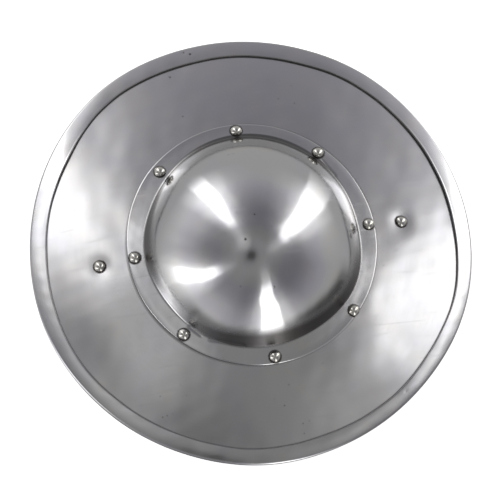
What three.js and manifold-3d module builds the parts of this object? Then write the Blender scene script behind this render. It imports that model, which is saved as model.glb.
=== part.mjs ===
// A round steel buckler with a domed boss, lying on its rim with the boss up.
//
// Millimetres, +Z up. The origin is the centre of the circle that the rim rests on, and X runs along
// the handle. The dish is a shallow cone of sheet whose edge is folded over its face as a hem. The boss
// is a hollow dome with a flange, riveted over the hand hole, and a strap handle crosses behind it.

import * as THREE from 'three';
import { mergeVertices } from 'three/addons/utils/BufferGeometryUtils.js';
import Module from 'manifold-3d';

// Driving dimensions.
const SHEET = 1.5; // thickness of the dish and of the boss
const CLEARANCE = 0.3; // between pieces that touch
const SLOPE = THREE.MathUtils.degToRad(14.5); // the dish falls this much from the boss to the rim

const RIM_RADIUS = 150;
const HAND_HOLE_RADIUS = 70;
const FOLD_RADIUS = 2.1; // outside of the hem's fold
const FLAP_WIDTH = 10; // from the fold's centre to the hem's cut edge, down the slope
const HEM_MOUTH = 0.4; // gap between the hem's cut edge and the dish
const RIM_LOBES = [
  { lobes: 2, swell: 0.3, peak: 25 },
  { lobes: 3, swell: 0.65, peak: -5 },
  { lobes: 5, swell: 0.45, peak: -20 },
]; // how the rim is out of round: swell in mm, and where one lobe peaks in degrees
const HEM_EDGE_LOBES = [
  { lobes: 1, swell: 0.6, peak: -94 },
  { lobes: 3, swell: 0.3, peak: -8 },
  { lobes: 5, swell: 0.35, peak: -22 },
]; // how the hem's cut edge wanders from the rim's line

const BOSS_RADIUS = 73.4; // of the dome where it meets the flange
const BOSS_HEIGHT = 48.8; // of the dome above that circle
const BOSS_FILLET = 2.2; // outside, between dome and flange
const FLANGE_RADIUS = 84.8;
const FLANGE_LOBES = [{ lobes: 2, swell: 0.7, peak: -59 }]; // how the flange is out of round

const SHANK_RADIUS = 2;
const HEAD_RADIUS = 4;
const HEAD_HEIGHT = 2.9;
const TAIL_RADIUS = 3.2;
const TAIL_HEIGHT = 1.2;
const BOSS_RIVET_SPOTS = [
  [1.5, 80.3],
  [45, 79.2],
  [87.5, 79.8],
  [132.5, 79],
  [179, 80.5],
  [224.5, 79.4],
  [270.5, 80.8],
  [315.5, 81.6],
]; // angle in degrees and radius: one for each eighth of the flange, set out by eye

const HANDLE_RIVET_X = 104;
const HANDLE_Y = 1.6; // the handle was set a little off the middle
const STRAP_THICKNESS = 3;
const STRAP_HALF_LENGTH = 117;
const STRAP_WIDTH = 26; // where it lies flat on the dish
const STRAP_TIP = 13; // length of each rounded tip
const STRAP_TIP_SHARE = 0.4; // of the width, left at the very end
const GRIP_WIDTH = 42; // of the strap in the middle, before it is rolled up
const GRIP_ROLL_RADIUS = 8.5; // of the rolled grip, at the middle of its wall
const GRIP_HALF_LENGTH = 42; // rolled all the way up to here, and flat from STRAP_FLAT on
const STRAP_FLAT = 78;
const STRAP_BEND = 96; // it lies on the dish from here on, and drops clear of the boss rivets before
const GRIP_LOW = 8; // height of the grip's lowest line, at the middle of its wall
const STRAP_SEAT = 0.5; // gap to the dish on the strap's centreline, as the dish curves across it

// Fineness of the faceted surfaces.
const DISH_SEGMENTS = 64;
const BOSS_SEGMENTS = 48;
const DOME_STEPS = 9;
const FILLET_STEPS = 3;
const FOLD_STEPS = 5;
const FLAP_STEPS = 3;
const RIVET_SEGMENTS = 12;
const HEAD_STEPS = 4;
const TAIL_STEPS = 2;
const HOLE_SEGMENTS = 12;
const STRAP_STEPS = 28;
const STRAP_STRIPS = 8;

const STEEL = { color: 0x9a9b9d, roughness: 0.35, metalness: 1 };
const BRIGHT_STEEL = { color: 0xa6a7a9, roughness: 0.22, metalness: 1 };
const RIVET_STEEL = { color: 0xb0b0ae, roughness: 0.25, metalness: 1 };
const DULL_STEEL = { color: 0x7f8082, roughness: 0.5, metalness: 1 };

const wasm = await Module();
wasm.setup();

// Closed geometry to manifold solid and back. Triangles that shrank to a line, at a pole, are dropped.
function solidOf(geometry) {
  const bare = new THREE.BufferGeometry();
  bare.setAttribute('position', geometry.getAttribute('position'));
  bare.setIndex(geometry.getIndex());
  const merged = mergeVertices(bare);
  const corners = merged.getIndex().array;
  const triVerts = [];
  for (let i = 0; i < corners.length; i += 3) {
    const [a, b, c] = corners.slice(i, i + 3);
    if (a !== b && b !== c && c !== a) triVerts.push(a, b, c);
  }
  const vertProperties = new Float32Array(merged.getAttribute('position').array);
  return new wasm.Manifold(
    new wasm.Mesh({ numProp: 3, vertProperties, triVerts: new Uint32Array(triVerts) }),
  );
}

function geometryOf(solid) {
  const { numProp, vertProperties, triVerts } = solid.getMesh();
  const geometry = new THREE.BufferGeometry();
  geometry.setAttribute('position', new THREE.Float32BufferAttribute(vertProperties, numProp));
  geometry.setIndex(new THREE.Uint32BufferAttribute(triVerts, 1));
  geometry.computeVertexNormals();
  return geometry;
}

function namedMesh(name, geometry, finish) {
  const mesh = new THREE.Mesh(geometry, new THREE.MeshStandardMaterial(finish));
  mesh.name = name;
  return mesh;
}

// Profiles are drawn in the (radius, height) plane and turned about Z. They run anticlockwise there, so
// that the faces point out.
function revolve(profile, segments) {
  return new THREE.LatheGeometry(profile, segments).rotateX(Math.PI / 2);
}

// Unit vectors of the dish's section: down the slope towards the rim, and square to its face.
const DOWN_SLOPE = new THREE.Vector2(Math.cos(SLOPE), -Math.sin(SLOPE));
const OFF_FACE = new THREE.Vector2(Math.sin(SLOPE), Math.cos(SLOPE));
const FOLD_CENTRE = new THREE.Vector2(RIM_RADIUS - FOLD_RADIUS, FOLD_RADIUS * Math.cos(SLOPE));

// A point of the hem's section, from the fold's centre: along the slope, and off the face.
function fromFold(along, off) {
  return FOLD_CENTRE.clone().addScaledVector(DOWN_SLOPE, along).addScaledVector(OFF_FACE, off);
}

// The point at a radius that is a given height square off the dish's front face.
function onDish(radius, lift) {
  const face = fromFold(0, SHEET - FOLD_RADIUS + lift);
  return new THREE.Vector2(radius, face.y + (face.x - radius) * Math.tan(SLOPE));
}

function sumOfLobes(list, angle) {
  return list.reduce(
    (sum, { lobes, swell, peak }) =>
      sum + swell * Math.cos(lobes * (angle - THREE.MathUtils.degToRad(peak))),
    0,
  );
}

// Section of the dish, as points with the share that each has of the hem edge's own wander. The fold's
// first facet lies level: it is the narrow flat ring that the shield rests on.
function dishSection() {
  const section = [];
  const add = (point, wander = 0) => section.push({ point, wander });
  const around = (radius, turn) => fromFold(radius * Math.sin(turn), -radius * Math.cos(turn));
  const flapTop = (share) =>
    FOLD_RADIUS - (2 * FOLD_RADIUS - 2 * SHEET - HEM_MOUTH) * share * share;

  add(onDish(HAND_HOLE_RADIUS, -SHEET));
  add(around(FOLD_RADIUS, 0));
  for (let i = 0; i < FOLD_STEPS; i += 1) {
    const first = 2 * SLOPE;
    add(around(FOLD_RADIUS, first + ((Math.PI - first) * i) / FOLD_STEPS));
  }
  for (let i = 0; i <= FLAP_STEPS; i += 1) {
    const share = i / FLAP_STEPS;
    add(fromFold(-FLAP_WIDTH * share, flapTop(share)), share);
  }
  for (let i = FLAP_STEPS; i >= 0; i -= 1) {
    const share = i / FLAP_STEPS;
    add(fromFold(-FLAP_WIDTH * share, flapTop(share) - SHEET), share);
  }
  for (let i = 1; i <= 2; i += 1) {
    add(around(FOLD_RADIUS - SHEET, Math.PI - (Math.PI * i) / 2));
  }
  add(onDish(HAND_HOLE_RADIUS, 0));
  section.push(section[0]);
  return section;
}

// Turns a section and pushes it out of round: push gives each point's own step out at an angle.
function revolveUneven(points, segments, push) {
  const geometry = revolve(points, segments);
  const position = geometry.getAttribute('position');
  for (let i = 0; i < position.count; i += 1) {
    const angle = Math.atan2(position.getY(i), position.getX(i));
    const step = push(i % points.length, angle);
    position.setX(i, position.getX(i) + step * Math.cos(angle));
    position.setY(i, position.getY(i) + step * Math.sin(angle));
  }
  return geometry;
}

// The dish is true at the flange and fully out of round at the rim, and the hem's cut edge wanders a
// little more.
function dishGeometry() {
  const section = dishSection();
  const push = (index, angle) => {
    const { point, wander } = section[index];
    const reach = Math.max(0, (point.x - FLANGE_RADIUS) / (RIM_RADIUS - FLANGE_RADIUS));
    return reach * sumOfLobes(RIM_LOBES, angle) + wander * sumOfLobes(HEM_EDGE_LOBES, angle);
  };
  return revolveUneven(section.map(({ point }) => point), DISH_SEGMENTS, push);
}

// The dome is a cap of a sphere, and a fillet turns it out into the flange, which lies along the dish.
// The inside is the same curve one sheet further in, so the wall is even.
function bossGeometry() {
  const flangeLift = SHEET + CLEARANCE;
  const base = onDish(BOSS_RADIUS, flangeLift);
  const domeRadius = (BOSS_RADIUS ** 2 + BOSS_HEIGHT ** 2) / (2 * BOSS_HEIGHT);
  const domeCentre = new THREE.Vector2(0, base.y + BOSS_HEIGHT - domeRadius);

  // The fillet's centre is one fillet radius off the flange and off the dome.
  const start = base.clone().addScaledVector(OFF_FACE, BOSS_FILLET).sub(domeCentre);
  const halfB = start.dot(DOWN_SLOPE);
  const c = start.lengthSq() - (domeRadius + BOSS_FILLET) ** 2;
  const along = -halfB + Math.sqrt(halfB ** 2 - c);
  const filletCentre = start.addScaledVector(DOWN_SLOPE, along).add(domeCentre);
  const steepest = Math.atan2(filletCentre.x, filletCentre.y - domeCentre.y);

  // Both arcs by how far the face leans from level, on the outside or at a depth under it.
  const wall = (centre, radius, lean) =>
    new THREE.Vector2(centre.x + radius * Math.sin(lean), centre.y + radius * Math.cos(lean));
  const curve = (depth) => {
    const points = [];
    for (let i = 0; i <= DOME_STEPS; i += 1) {
      points.push(wall(domeCentre, domeRadius - depth, (steepest * i) / DOME_STEPS));
    }
    for (let i = 1; i <= FILLET_STEPS; i += 1) {
      const lean = steepest + ((SLOPE - steepest) * i) / FILLET_STEPS;
      points.push(wall(filletCentre, -(BOSS_FILLET + depth), lean));
    }
    points.push(onDish(FLANGE_RADIUS, flangeLift - depth));
    return points;
  };
  const section = [...curve(SHEET), ...curve(0).reverse()];
  const push = (index, angle) =>
    section[index].x === FLANGE_RADIUS ? sumOfLobes(FLANGE_LOBES, angle) : 0;
  return revolveUneven(section, BOSS_SEGMENTS, push);
}

// A rivet with a round head standing on z = 0, a shank through the grip, and a low hammered tail.
function rivetGeometry(grip) {
  const cap = (radius, height, foot, steps, i) =>
    new THREE.Vector2(
      radius * Math.cos((Math.PI * i) / (2 * steps)),
      foot + height * Math.sin((Math.PI * i) / (2 * steps)),
    );
  const profile = [];
  for (let i = TAIL_STEPS; i >= 0; i -= 1) {
    profile.push(cap(TAIL_RADIUS, -TAIL_HEIGHT, -grip, TAIL_STEPS, i));
  }
  profile.push(new THREE.Vector2(SHANK_RADIUS, -grip));
  profile.push(new THREE.Vector2(SHANK_RADIUS, 0));
  for (let i = 0; i <= HEAD_STEPS; i += 1) {
    profile.push(cap(HEAD_RADIUS, HEAD_HEIGHT, 0, HEAD_STEPS, i));
  }
  profile[0].x = 0;
  profile[profile.length - 1].x = 0;
  return revolve(profile, RIVET_SEGMENTS);
}

// Puts a thing made round Z at an angle and radius of the dish, square to its face.
function standOnDish(object, angle, radius, lift) {
  const spot = onDish(radius, 0).addScaledVector(OFF_FACE, lift);
  object.position.set(spot.x * Math.cos(angle), spot.x * Math.sin(angle), spot.y);
  object.rotation.set(0, SLOPE, angle, 'ZYX');
  object.updateMatrix();
  return object;
}

// Drills a rivet hole square through the dish's face, and through whatever else is in its way.
function drill(solid, angle, radius) {
  const depth = 30;
  const bore = SHANK_RADIUS + CLEARANCE;
  const bit = new THREE.CylinderGeometry(bore, bore, depth, HOLE_SEGMENTS).rotateX(Math.PI / 2);
  bit.applyMatrix4(standOnDish(new THREE.Object3D(), angle, radius, 0).matrix);
  return solid.subtract(solidOf(bit));
}

function smoothStep(value, from, to) {
  return THREE.MathUtils.smoothstep(value, from, to);
}

// The handle is a strap: flat on the dish at both ends and rolled into an open tube in the middle. A
// point across its width is bent round the roll: by arc length, on a circle that grows flat outwards.
// The stations along it lie by a sine, so that they crowd into the rounded tips.
function handleGeometry() {
  const geometry = new THREE.BoxGeometry(
    2 * STRAP_HALF_LENGTH,
    1,
    STRAP_THICKNESS,
    STRAP_STEPS,
    STRAP_STRIPS,
    1,
  );
  const position = geometry.getAttribute('position');
  const seat = SHEET + STRAP_SEAT + STRAP_THICKNESS / 2;
  for (let i = 0; i < position.count; i += 1) {
    const station = position.getX(i) / STRAP_HALF_LENGTH;
    const x = STRAP_HALF_LENGTH * Math.sin((station * Math.PI) / 2);
    const out = Math.abs(x);
    const rolled = 1 - smoothStep(out, GRIP_HALF_LENGTH, STRAP_FLAT);
    const tip = Math.max(0, out - (STRAP_HALF_LENGTH - STRAP_TIP)) / STRAP_TIP;
    const narrowing = 1 - (1 - STRAP_TIP_SHARE) * (1 - Math.sqrt(1 - tip * tip));
    const width = THREE.MathUtils.lerp(STRAP_WIDTH, GRIP_WIDTH, rolled ** 2) * narrowing;
    const across = position.getY(i) * width;
    const off = position.getZ(i);
    const lying = onDish(out, -seat).y;
    const foot = THREE.MathUtils.lerp(GRIP_LOW, lying, smoothStep(out, GRIP_HALF_LENGTH, STRAP_BEND));
    const radius = GRIP_ROLL_RADIUS / Math.max(rolled, 1e-3);
    const turn = across / radius;
    position.setX(i, x);
    position.setY(i, HANDLE_Y + (radius - off) * Math.sin(turn));
    position.setZ(i, foot + radius - (radius - off) * Math.cos(turn));
  }
  return geometry;
}

const bossRivetPlaces = BOSS_RIVET_SPOTS.map(([angle, radius]) => [
  THREE.MathUtils.degToRad(angle),
  radius,
]);
const handleRivetPlaces = [HANDLE_RIVET_X, -HANDLE_RIVET_X].map((x) => [
  Math.atan2(HANDLE_Y, x),
  Math.hypot(HANDLE_Y, x),
]);
const drillAll = (geometry, places) =>
  geometryOf(
    places.reduce((solid, [angle, radius]) => drill(solid, angle, radius), solidOf(geometry)),
  );

const buckler = new THREE.Group();
buckler.name = 'buckler';
buckler.add(
  namedMesh('dish', drillAll(dishGeometry(), [...bossRivetPlaces, ...handleRivetPlaces]), STEEL),
);
buckler.add(namedMesh('boss', drillAll(bossGeometry(), bossRivetPlaces), BRIGHT_STEEL));
buckler.add(namedMesh('handle', drillAll(handleGeometry(), handleRivetPlaces), DULL_STEEL));

// Each rivet's head stands just off the piece in front and its tail just off the piece behind.
const bossGrip = 2 * SHEET + 3 * CLEARANCE;
const bossRivet = geometryOf(solidOf(rivetGeometry(bossGrip)));
bossRivetPlaces.forEach(([angle, radius], i) => {
  const rivet = namedMesh(`boss_rivet_${i + 1}`, bossRivet, RIVET_STEEL);
  buckler.add(standOnDish(rivet, angle, radius, SHEET + 2 * CLEARANCE));
});

const handleGrip = SHEET + STRAP_SEAT + STRAP_THICKNESS + 2 * CLEARANCE;
const handleRivet = geometryOf(solidOf(rivetGeometry(handleGrip)));
handleRivetPlaces.forEach(([angle, radius], i) => {
  const rivet = namedMesh(`handle_rivet_${i + 1}`, handleRivet, RIVET_STEEL);
  buckler.add(standOnDish(rivet, angle, radius, CLEARANCE));
});

export default buckler;
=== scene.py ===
# %% [markdown]
# # A riveted steel buckler
#
# A buckler is the small round shield that a fist holds out in front. This one is a shallow cone of steel
# sheet with its edge folded over, a raised boss riveted over the hand hole, and a strap handle behind.
# It lies on its rim with the boss up. The CAD model is loaded first, for its box and places.

import bpy
import numpy as np
from mathutils import Matrix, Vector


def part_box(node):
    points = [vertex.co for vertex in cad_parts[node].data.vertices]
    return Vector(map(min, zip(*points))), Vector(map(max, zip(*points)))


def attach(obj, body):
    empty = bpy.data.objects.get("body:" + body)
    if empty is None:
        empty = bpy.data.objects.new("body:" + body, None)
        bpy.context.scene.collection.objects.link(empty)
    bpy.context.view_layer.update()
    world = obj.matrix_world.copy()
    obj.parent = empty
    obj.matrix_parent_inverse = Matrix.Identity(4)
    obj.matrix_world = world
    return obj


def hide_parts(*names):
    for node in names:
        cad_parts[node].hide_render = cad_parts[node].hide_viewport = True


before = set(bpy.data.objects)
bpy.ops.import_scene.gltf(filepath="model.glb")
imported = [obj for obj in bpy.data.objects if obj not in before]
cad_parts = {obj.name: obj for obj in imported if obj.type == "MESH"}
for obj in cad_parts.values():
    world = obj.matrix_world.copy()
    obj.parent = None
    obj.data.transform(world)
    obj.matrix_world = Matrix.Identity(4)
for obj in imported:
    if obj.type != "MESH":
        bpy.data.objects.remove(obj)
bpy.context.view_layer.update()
MM = 0.001

# %% [markdown]
# ## The camera
#
# The shield is shown from nearly straight above the boss, through a long lens that keeps circles true.
# Its axis leans up in the view, and the handle's line rises a little to the right. Those angles give the
# shield's axes as the camera sees them. Read across, the same nine numbers are the camera's own axes.

# %% Camera
TILT = np.radians(17.9)  # how far the shield's axis leans off the line of sight
LEAN_TOWARDS = np.radians(74)  # which way it leans in the view, from the right-hand side
HANDLE_RISE = np.radians(8.5)  # how far the handle's line rises to the right in the view
CAMERA_DISTANCE = 5.0
FIELD = 0.3384  # width of the view at the shield
AIM = (0.0002, 0.00112)  # how far right and up of the origin the view is centred


def shield_in_view():
    """The shield's own X, Y and Z as columns (right, up, towards the viewer). Z leans by the tilt. X is
    the direction at the handle's rise in the view that is square to Z, and Y completes them."""
    leaning = np.sin(TILT) * np.array([np.cos(LEAN_TOWARDS), np.sin(LEAN_TOWARDS)])
    axis = np.array([*leaning, np.cos(TILT)])
    handle_line = np.array([np.cos(HANDLE_RISE), np.sin(HANDLE_RISE), 0.0])
    handle_line[2] = -(handle_line @ axis) / axis[2]
    handle_line /= np.linalg.norm(handle_line)
    return np.column_stack([handle_line, np.cross(axis, handle_line), axis])


CAMERA_RIGHT, CAMERA_UP, CAMERA_BACK = shield_in_view()
camera_at = CAMERA_BACK * CAMERA_DISTANCE + CAMERA_RIGHT * AIM[0] + CAMERA_UP * AIM[1]
stand = np.eye(4)  # its columns are the camera's own X, Y and Z, and its place
stand[:3] = np.column_stack([CAMERA_RIGHT, CAMERA_UP, CAMERA_BACK, camera_at])
lens = bpy.data.cameras.new("camera")
lens.sensor_width = 36.0
lens.lens = lens.sensor_width * CAMERA_DISTANCE / FIELD
lens.clip_end = 50.0
camera = bpy.data.objects.new("camera", lens)
bpy.context.collection.objects.link(camera)
camera.matrix_world = Matrix(stand.tolist())
bpy.context.scene.camera = camera
print("camera lens:", round(lens.lens, 1), "mm")

# %% [markdown]
# ## From a grid of points to a closed skin
#
# Each piece is worked out as a grid: its rows follow a section, and its columns go round. A ring such as
# the dish joins its last row to its first. A piece with ends is closed at each by a fan of triangles.


# %% Skin
def skin(name, grid, ring=False, **paints):
    """Mesh object of a grid [row, column, xyz] in mm, whose columns join up all round. A ring's rows
    join up too, and otherwise fans close the first and last rows. Faces are turned outwards, so that
    the volume inside, a sum of a . (b x c) / 6 over the triangles, is positive. Each paint is a grid of
    numbers kept as a point attribute."""
    rows, columns = grid.shape[:2]
    index = np.arange(rows * columns).reshape(rows, columns)
    across = np.roll(index, -1, axis=1)
    lower, upper = (index, across) if ring else (index[:-1], across[:-1])
    below = np.roll(index, -1, axis=0) if ring else index[1:]
    below_across = np.roll(below, -1, axis=1)
    quads = np.stack([lower, upper, below_across, below], axis=-1).reshape(-1, 4)
    points = grid.reshape(-1, 3)
    fans = np.empty((0, 3), int)
    if not ring:
        points = np.vstack([points, grid[0].mean(axis=0), grid[-1].mean(axis=0)])
        first = np.full(columns, rows * columns)
        to_first = np.column_stack([first, across[0], index[0]])
        to_last = np.column_stack([first + 1, index[-1], across[-1]])
        fans = np.vstack([to_first, to_last])
    triangles = np.vstack([quads[:, [0, 1, 2]], quads[:, [0, 2, 3]], fans])
    a, b, c = (points[triangles[:, i]] for i in range(3))
    volume = np.einsum("ij,ij->i", a, np.cross(b, c)).sum() / 6
    if volume < 0:
        quads, fans = quads[:, ::-1], fans[:, ::-1]

    mesh = bpy.data.meshes.new(name)
    mesh.from_pydata(points * MM, [], quads.tolist() + fans.tolist())
    mesh.shade_smooth()
    for paint, values in paints.items():
        flat = np.broadcast_to(values, (rows, columns)).reshape(-1)
        if not ring:
            flat = np.append(flat, [flat[0], flat[-1]])
        attribute = mesh.attributes.new(paint, "FLOAT", "POINT")
        attribute.data.foreach_set("value", flat.astype(np.float32))
    piece = bpy.data.objects.new(name, mesh)
    bpy.context.collection.objects.link(piece)
    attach(piece, "root")
    print(f"{name}: {len(triangles)} triangles, {abs(volume) / 1000:.2f} cm3")
    return piece


# %% [markdown]
# ## The dish's own section
#
# The dish is one sheet: up the slope on its back, round the fold at the rim, in over the face as the
# hem, and back out under it. A point of that section is given in the sheet's own directions, along the
# slope and off the face, so that the folds stay true while the whole sheet leans.

# %% Section frame
SHEET = 1.5
SLOPE = np.radians(14.5)
RIM_RADIUS = 150.0
FOLD_RADIUS = 1.65
FLANGE_RADIUS = 84.8
CROWN_FROM, CROWN_DROP = 134.0, 1.7
DOWN_SLOPE = np.array([np.cos(SLOPE), -np.sin(SLOPE)])
OFF_FACE = np.array([np.sin(SLOPE), np.cos(SLOPE)])
FOLD_CENTRE = np.array([RIM_RADIUS - FOLD_RADIUS, FOLD_RADIUS * np.cos(SLOPE)])


def from_fold(along, off):
    """Section point (radius, height): the fold's centre, plus along times the way down the slope, plus
    off times the way off the face."""
    along, off = np.broadcast_arrays(along, off)
    return FOLD_CENTRE + along[..., None] * DOWN_SLOPE + off[..., None] * OFF_FACE


def way_in(radius):
    """0 from the rim to CROWN_FROM, and then rising evenly to 1 at the flange's edge."""
    return np.maximum(CROWN_FROM - radius, 0) / (CROWN_FROM - FLANGE_RADIUS)


def crown(radius):
    """How far the sheet is bowed down from its straight cone: the drop times the way in, squared."""
    return CROWN_DROP * way_in(radius) ** 2


def lean_at(radius):
    """The face's own slope at a radius: the cone's, less what the crown's curve takes off it."""
    return np.arctan(np.tan(SLOPE) - 2 * CROWN_DROP * way_in(radius) / (CROWN_FROM - FLANGE_RADIUS))


def on_dish(radius, lift):
    """Section point at a radius, lift off the front face, which falls by tan(slope) less the crown."""
    face = from_fold(0.0, SHEET - FOLD_RADIUS + lift)
    height = face[..., 1] + (face[..., 0] - radius) * np.tan(SLOPE) - crown(radius)
    return np.stack(np.broadcast_arrays(radius, height), axis=-1)


def spread(start, stop, count, ease=1.0):
    """Numbers from start to stop. An ease over 1 crowds them towards stop, and under 1 towards start."""
    return start + (stop - start) * (1 - (1 - np.linspace(0, 1, count)) ** ease)


print("front face under the flange's edge:", on_dish(FLANGE_RADIUS, 0.0).round(2), "mm")

# %% [markdown]
# ## What a hand-made sheet does
#
# The rim isn't a true circle: it carries a few slow lobes. A hammered and polished sheet also keeps
# waves some hundredths of a millimetre deep. They can't be seen as shape, but they bend every
# reflection, which is how the eye tells real plate. Single knocks are round hollows.


# %% Unevenness
def all_round(columns):
    """The angle of each column: a full turn in even steps."""
    return np.arange(columns) * 2 * np.pi / columns


def turned(radius, height, angle):
    """Grid of points (radius * cos, radius * sin, height): a section carried round Z."""
    return np.stack([radius * np.cos(angle), radius * np.sin(angle), height + 0 * angle], axis=-1)


def bell(distance, width):
    """exp(-(distance / width)^2): 1 at no distance, and soon nothing beyond the width."""
    return np.exp(-((distance / width) ** 2))


def smooth_step(value, start, stop):
    """0 before start, 1 after stop, and t * t * (3 - 2t) between."""
    t = np.clip((value - start) / (stop - start), 0, 1)
    return t * t * (3 - 2 * t)


def lobes(angle, *terms):
    """Sum of swell * cos(count * (angle - peak)), with terms (count, swell in mm, peak in degrees)."""
    return sum(swell * np.cos(n * (angle - np.radians(peak))) for n, swell, peak in terms)


def swells(angle, *terms):
    """Sum of swell * bell(turn, width), with each term as (bearing, width, swell) and the turn taken
    from its own bearing in degrees."""
    turns = [(np.degrees(angle) - at + 180) % 360 - 180 for at, _, _ in terms]
    return sum(swell * bell(turn, width) for turn, (_, width, swell) in zip(turns, terms))


def waves(x, y, seed, longest, shortest, depth, count=14):
    """Shallow waves over the sheet: depth * sqrt(2 / count) times a sum of cos(k . p + phase), with
    seeded directions and phases, and with lengths spread evenly from longest to shortest."""
    draw = np.random.default_rng(seed)
    heading = draw.uniform(0, 2 * np.pi, count)
    phase = draw.uniform(0, 2 * np.pi, count)
    number = 2 * np.pi / np.linspace(longest, shortest, count)
    total = np.zeros(np.shape(x))
    for k, turn, start in zip(number, heading, phase):
        total += np.cos(k * (x * np.cos(turn) + y * np.sin(turn)) + start)
    return depth * np.sqrt(2 / count) * total


def knocks(x, y, marks):
    """Sum of round marks, depth * bell(distance, size), each as (x, y, size, depth) in mm."""
    return sum(depth * bell(np.hypot(x - at_x, y - at_y), size) for at_x, at_y, size, depth in marks)


RIM_LOBES = ((2, 0.3, 25), (3, 0.65, -5), (5, 0.45, -20), (10, 0.12, 11))
print("rim out of round by", np.ptp(lobes(all_round(360), *RIM_LOBES)).round(2), "mm")

# %% [markdown]
# ## The dish
#
# The smith folds the hem over with a mallet, so its top is slightly crowned, its cut edge nearly touches
# the face, and its line wanders. The strap behind draws the sheet down round the two handle rivets. The
# rivet holes stay hidden under the rivets.

# %% Dish section
HAND_HOLE_RADIUS = 70.0
HOLE_ROUND = 0.3  # both corners of the hand hole
FLAP_WIDTH = 9.75
HEM_RISE = np.radians(2.2)  # how much steeper than the face the hem leaves the fold
LIP_RISE = np.radians(-5)  # and what is left of that at its lip
BURR, BURR_WIDTH = 0.05, 0.5  # the lip's edge is turned up by the shears
LIP_ROUND, LIP_UNDER_ROUND = 0.7, 0.25  # the cut edge's upper and lower corners
FLAP_SHARE = 0.92  # the corner takes over from here to the lip
FACE_RUNS = ((0.0, -6.8, 5), (-7.2, -12.4, 15))  # from, to and rows: close ones under the hem's lip
OPEN_FACE_FROM = -13.2


def flap_top(share):
    """Height of the hem's top off the fold's centre. It climbs inwards from the fold's own height, at a
    rate that goes evenly from the first rise to the lip's."""
    start, end = np.tan(HEM_RISE), np.tan(LIP_RISE)
    climb = FLAP_WIDTH * (start * share - (start - end) * share**2 / 2)
    burr = BURR * bell((1 - share) * FLAP_WIDTH, BURR_WIDTH)
    return FOLD_RADIUS * np.cos(HEM_RISE) + climb + burr


def corner(along, off, size, start, stop, count):
    """Arc of a rounded arris: centre (along, off) plus size * (-sin, cos) of a turn, in degrees."""
    turn = np.linspace(np.radians(start), np.radians(stop), count)
    return from_fold(along - size * np.sin(turn), off + size * np.cos(turn))


def dish_section():
    """Runs of section points, each with its share of the hem's own wander and dents. Up the back, round
    the fold, in along the hem's top, round its cut edge, back under it, up the face, and round the
    hand hole's edge."""
    by_hole = (HAND_HOLE_RADIUS - FOLD_CENTRE[0]) / np.cos(SLOPE) + HOLE_ROUND
    back, face = -FOLD_RADIUS, SHEET - FOLD_RADIUS
    turn = np.linspace(0, np.pi - HEM_RISE, 22)[1:-1]
    inner = np.linspace(np.pi - HEM_RISE, 0, 6)[1:-1]
    top, under = flap_top(1.0) - LIP_ROUND, flap_top(1.0) - SHEET + LIP_UNDER_ROUND
    share = spread(0, FLAP_SHARE, 16)
    hidden = spread(1, 0, 5)[1:]
    runs = [
        (from_fold(spread(by_hole, 0, 20), back), 0),
        (from_fold(FOLD_RADIUS * np.sin(turn), -FOLD_RADIUS * np.cos(turn)), 0),
        (from_fold(-FLAP_WIDTH * share, flap_top(share)), share),
        (corner(-FLAP_WIDTH + LIP_ROUND, top, LIP_ROUND, 5, 90, 8), 1),
        (corner(-FLAP_WIDTH + LIP_UNDER_ROUND, under, LIP_UNDER_ROUND, 90, 170, 4), 1),
        (from_fold(-FLAP_WIDTH * hidden, flap_top(hidden) - SHEET), hidden),
        (from_fold(-face * np.sin(inner), face * np.cos(inner)), 0),
        *((from_fold(spread(*face_run), face), 0) for face_run in FACE_RUNS),
        (from_fold(spread(OPEN_FACE_FROM, by_hole, 42), face), 0),
        (corner(by_hole, face - HOLE_ROUND, HOLE_ROUND, 20, 90, 3), 0),
        (corner(by_hole, back + HOLE_ROUND, HOLE_ROUND, 90, 160, 3), 0),
    ]
    points = np.vstack([run for run, _ in runs])
    points[:, 1] -= crown(points[:, 0])
    wander = np.concatenate([np.broadcast_to(w, len(run)) for run, w in runs])
    return points, wander


section, wander = dish_section()
print("dish section:", len(section), "points, lowest", section[:, 1].min().round(3), "mm")

# %% Dish surface
HANDLE_RIVETS = ("handle_rivet_1", "handle_rivet_2")
DIMPLE_DEPTH, DIMPLE_SIZE = 0.45, 7.0
BULGES = ((60, -92, 20, 0.35), (-105, -38, 22, 0.5))  # x, y, size and height
HEM_PITS = ((-19.7, 145.5, 0.8, -0.12), (-15.6, 143.5, 0.7, -0.08), (86.4, -114.0, 0.8, -0.12))
HEM_LIFTS = ((8, 30, 0.88), (147, 12.5, 0.86), (325, 16, 0.1))  # bearing, width and lift
HEM_EDGE_LOBES = (
    (1, 0.7, -64), (2, 0.3, -8), (3, 0.26, -28), (4, 0.3, 37), (5, 0.22, -25), (8, 0.26, -14),
    (10, 0.2, 16),
)
RAGGED_LOBES = ((9, 0.12, 10), (14, 0.08, 3), (23, 0.05, 8), (37, 0.03, 2))


def middle(node):
    """Middle of a CAD node's box, in mm."""
    low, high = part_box(node)
    return np.array((low + high) / 2) / MM


def dish_press(x, y):
    """How far the sheet is off its true cone: waves, bulges, and a dimple at each handle rivet."""
    dimples = [(*middle(name)[:2], DIMPLE_SIZE, -DIMPLE_DEPTH) for name in HANDLE_RIVETS]
    return (
        waves(x, y, seed=3, longest=90, shortest=35, depth=0.06)
        + waves(x, y, seed=4, longest=30, shortest=12, depth=0.016)
        + knocks(x, y, dimples + list(BULGES))
    )


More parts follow.
